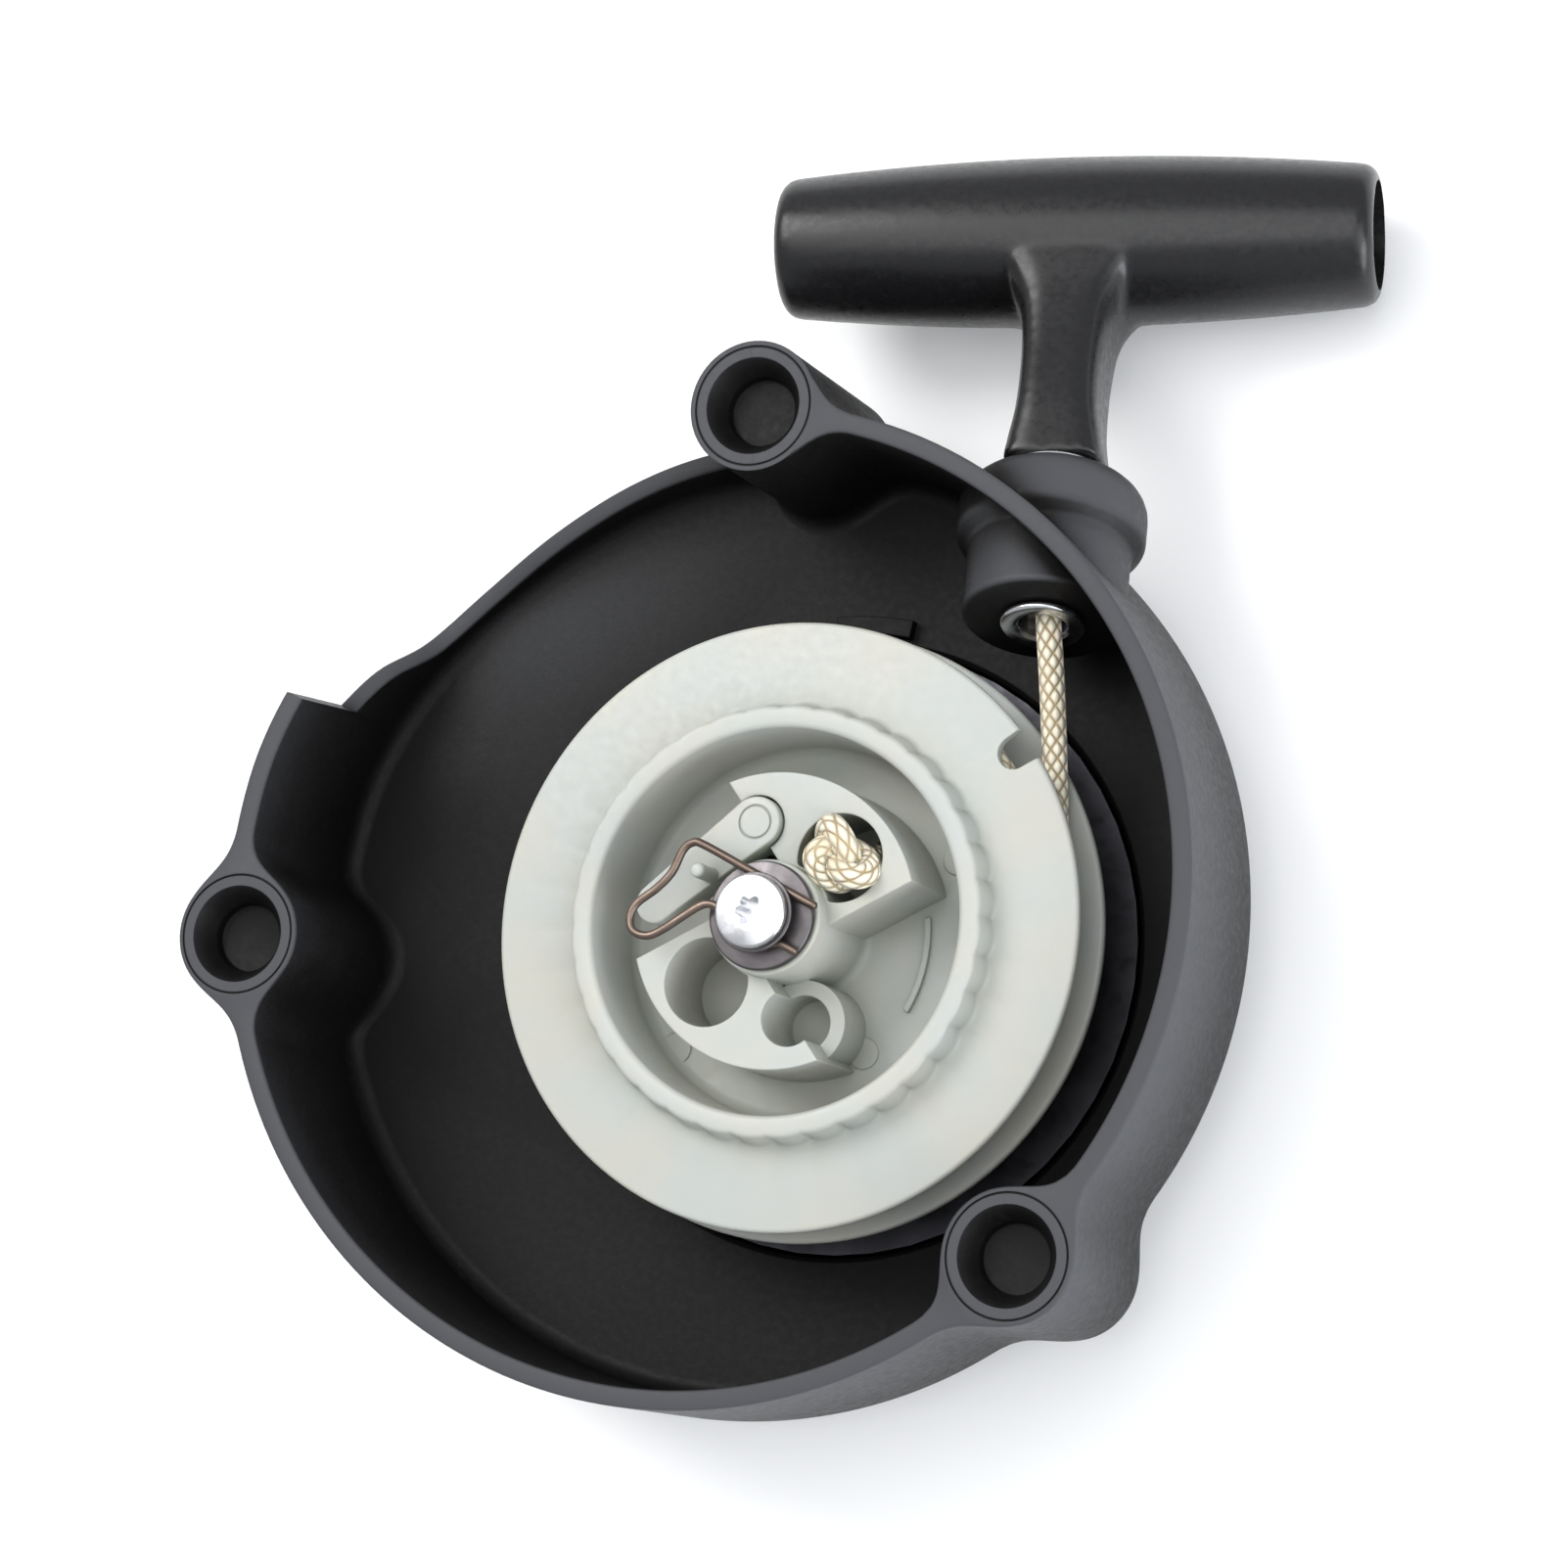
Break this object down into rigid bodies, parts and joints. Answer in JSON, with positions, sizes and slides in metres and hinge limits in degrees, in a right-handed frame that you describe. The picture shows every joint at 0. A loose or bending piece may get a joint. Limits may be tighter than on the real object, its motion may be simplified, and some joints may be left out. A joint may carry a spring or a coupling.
{
  "type": "recoil starter",
  "caption": "Pull-rope recoil starter of a small petrol engine: black housing, nylon rope drum with pawl and friction clip, rope and T-grip.",
  "frame": {"origin": "on the drum's axle, at the flat back that the housing lies on", "axes": "+Z along the axle, out of the open side that faces the engine; +X along the grip's crossbar; the rope leaves towards +Y"},
  "size_m": [0.1583, 0.172, 0.0512],
  "materials": {
    "black_plastic": "moulded, fine grain",
    "grip_plastic": "moulded, satin",
    "natural_nylon": "translucent natural nylon",
    "braided_rope": "cream diamond braid",
    "bright_zinc": "bright zinc plate",
    "dark_steel": "dark phosphate",
    "bare_steel": "bare",
    "bronze_wire": "bronze-coloured spring wire",
    "spring_steel": "blued spring strip"
  },
  "bodies": {
    "housing": {"starter_housing": "black_plastic", "spring_cover": "bare_steel", "rewind_spring": "spring_steel", "axle_sleeve": "bare_steel", "axle_collar": "dark_steel", "retaining_screw": "bright_zinc", "rope_eyelet": "bright_zinc", "eyelet_collar": "bright_zinc", "rope_run": "braided_rope"},
    "rotor": {"rope_rotor": "natural_nylon", "rope_coil": "braided_rope", "rotor_knot": "braided_rope"},
    "pawl": {"ratchet_pawl": "natural_nylon"},
    "clip": {"friction_clip": "bronze_wire"},
    "grip": {"pull_grip": "grip_plastic", "rope_pull": "braided_rope", "grip_knot": "braided_rope"}
  },
  "joints": [
    {"name": "rotor_spin", "type": "hinge", "parent": "housing", "child": "rotor", "pos_m": [0, 0, 0.03], "axis": [0, 0, 1], "range_deg": [0, 820], "stiffness_Nm_per_rad": 0.02, "springref_deg": -572.96, "deforming": ["rope_coil", "rewind_spring"]},
    {"name": "grip_pull", "type": "slide", "parent": "housing", "child": "grip", "axis": [-0.0332, 0.9505, -0.309], "range_m": [0, 0.5003]},
    {"name": "pawl_swing", "type": "hinge", "parent": "rotor", "child": "pawl", "pos_m": [-0.0025, 0.0129, 0.04], "axis": [0, 0, 1], "range_deg": [-22, 0]},
    {"name": "clip_swing", "type": "hinge", "parent": "rotor", "child": "clip", "pos_m": [0, 0, 0.0485], "axis": [0, 0, 1], "range_deg": [-35.2, 0]}
  ],
  "couplings": [
    {"joint": "grip_pull", "follows": "rotor_spin", "m_per_rad": 0.03495},
    {"joint": "clip_swing", "follows": "pawl_swing", "ratio": 1.6}
  ]
}
